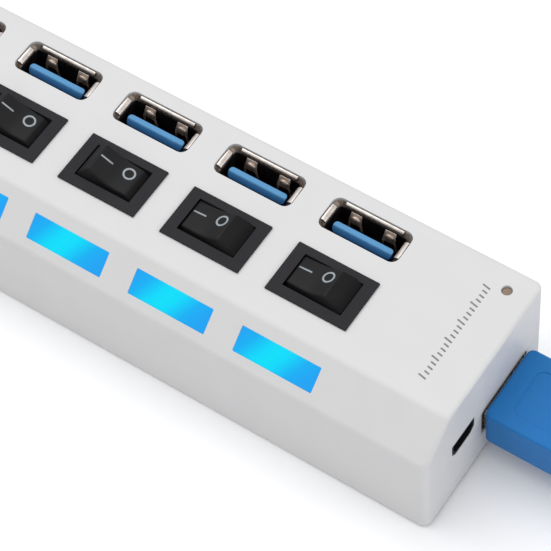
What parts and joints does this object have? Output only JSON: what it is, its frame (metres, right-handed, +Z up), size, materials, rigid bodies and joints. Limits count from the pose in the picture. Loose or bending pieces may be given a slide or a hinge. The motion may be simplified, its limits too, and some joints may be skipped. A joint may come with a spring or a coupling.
{
  "type": "usb hub",
  "caption": "White bar-shaped USB hub with upright sockets, a rocker switch and a lit window for each, and its blue cable plugged into one end.",
  "frame": {"origin": "bottom centre of the hub, on the plane of its rubber feet, without the cable", "axes": "+X towards the end with the cable, +Y towards the back edge with the sockets, +Z up"},
  "size_m": [0.3383, 0.0476, 0.0279],
  "materials": {
    "case": "fine pebbled white plastic",
    "feet": "soft matt rubber",
    "screws": "plated steel",
    "board": "green solder mask",
    "chips": "black moulded package",
    "metal_cans": "drawn metal can",
    "led": "clear light chip",
    "light_pipe": "tinted clear plastic",
    "contacts": "gold plated",
    "socket_metal": "nickel plated pressed steel",
    "tongue": "blue moulded plastic",
    "inlet": "black moulded plastic",
    "window": "lit translucent plastic",
    "switch_frame": "fine grained black plastic",
    "rocker": "satin black plastic with white marks",
    "plug_metal": "plated steel",
    "grip": "satin blue soft plastic",
    "cord": "satin blue cable jacket",
    "tie": "woven black strap"
  },
  "bodies": {
    "hub": {"top_cover": "case", "bottom_cover": "case", "rubber_feet": "feet", "case_screws": "screws", "board_screws": "screws", "circuit_board": "board", "hub_chips": "chips", "board_parts": "metal_cans", "indicator_leds": "led", "status_led": "light_pipe", "port_contacts": "contacts", "switch_contacts": "contacts", "upstream_shell": "socket_metal", "upstream_tongue": "tongue", "power_inlet": "inlet", "window_1": "window", "window_2": "window", "window_3": "window", "window_4": "window", "window_5": "window", "window_6": "window", "window_7": "window", "port_shell_1": "socket_metal", "port_shell_2": "socket_metal", "port_shell_3": "socket_metal", "port_shell_4": "socket_metal", "port_shell_5": "socket_metal", "port_shell_6": "socket_metal", "port_shell_7": "socket_metal", "port_tongue_1": "tongue", "port_tongue_2": "tongue", "port_tongue_3": "tongue", "port_tongue_4": "tongue", "port_tongue_5": "tongue", "port_tongue_6": "tongue", "port_tongue_7": "tongue", "switch_frame_1": "switch_frame", "switch_frame_2": "switch_frame", "switch_frame_3": "switch_frame", "switch_frame_4": "switch_frame", "switch_frame_5": "switch_frame", "switch_frame_6": "switch_frame", "switch_frame_7": "switch_frame"},
    "cable": {"plug_shell": "plug_metal", "plug_inserts": "tongue", "plug_grip": "grip", "cord_lead": "cord", "cord_hank": "cord", "cord_tail": "cord", "cord_tie": "tie", "far_plug_shell": "plug_metal", "far_plug_grip": "grip"},
    "rocker_1": {"rocker_1": "rocker"},
    "rocker_2": {"rocker_2": "rocker"},
    "rocker_3": {"rocker_3": "rocker"},
    "rocker_4": {"rocker_4": "rocker"},
    "rocker_5": {"rocker_5": "rocker"},
    "rocker_6": {"rocker_6": "rocker"},
    "rocker_7": {"rocker_7": "rocker"}
  },
  "joints": [
    {"name": "switch_1", "type": "hinge", "parent": "hub", "child": "rocker_1", "pos_m": [0.0559, -0.0006, 0.02265], "axis": [0, 1, 0], "range_deg": [0, 30]},
    {"name": "switch_2", "type": "hinge", "parent": "hub", "child": "rocker_2", "pos_m": [0.0358, -0.0006, 0.02265], "axis": [0, 1, 0], "range_deg": [0, 30]},
    {"name": "switch_3", "type": "hinge", "parent": "hub", "child": "rocker_3", "pos_m": [0.0157, -0.0006, 0.02265], "axis": [0, 1, 0], "range_deg": [-30, 0]},
    {"name": "switch_4", "type": "hinge", "parent": "hub", "child": "rocker_4", "pos_m": [-0.0044, -0.0006, 0.02265], "axis": [0, 1, 0], "range_deg": [-30, 0]},
    {"name": "switch_5", "type": "hinge", "parent": "hub", "child": "rocker_5", "pos_m": [-0.0245, -0.0006, 0.02265], "axis": [0, 1, 0], "range_deg": [-30, 0]},
    {"name": "switch_6", "type": "hinge", "parent": "hub", "child": "rocker_6", "pos_m": [-0.0446, -0.0006, 0.02265], "axis": [0, 1, 0], "range_deg": [-30, 0]},
    {"name": "switch_7", "type": "hinge", "parent": "hub", "child": "rocker_7", "pos_m": [-0.0647, -0.0006, 0.02265], "axis": [0, 1, 0], "range_deg": [-30, 0]},
    {"name": "cable_plug", "type": "slide", "parent": "hub", "child": "cable", "axis": [1, 0, 0], "range_m": [0, 0.014]}
  ]
}
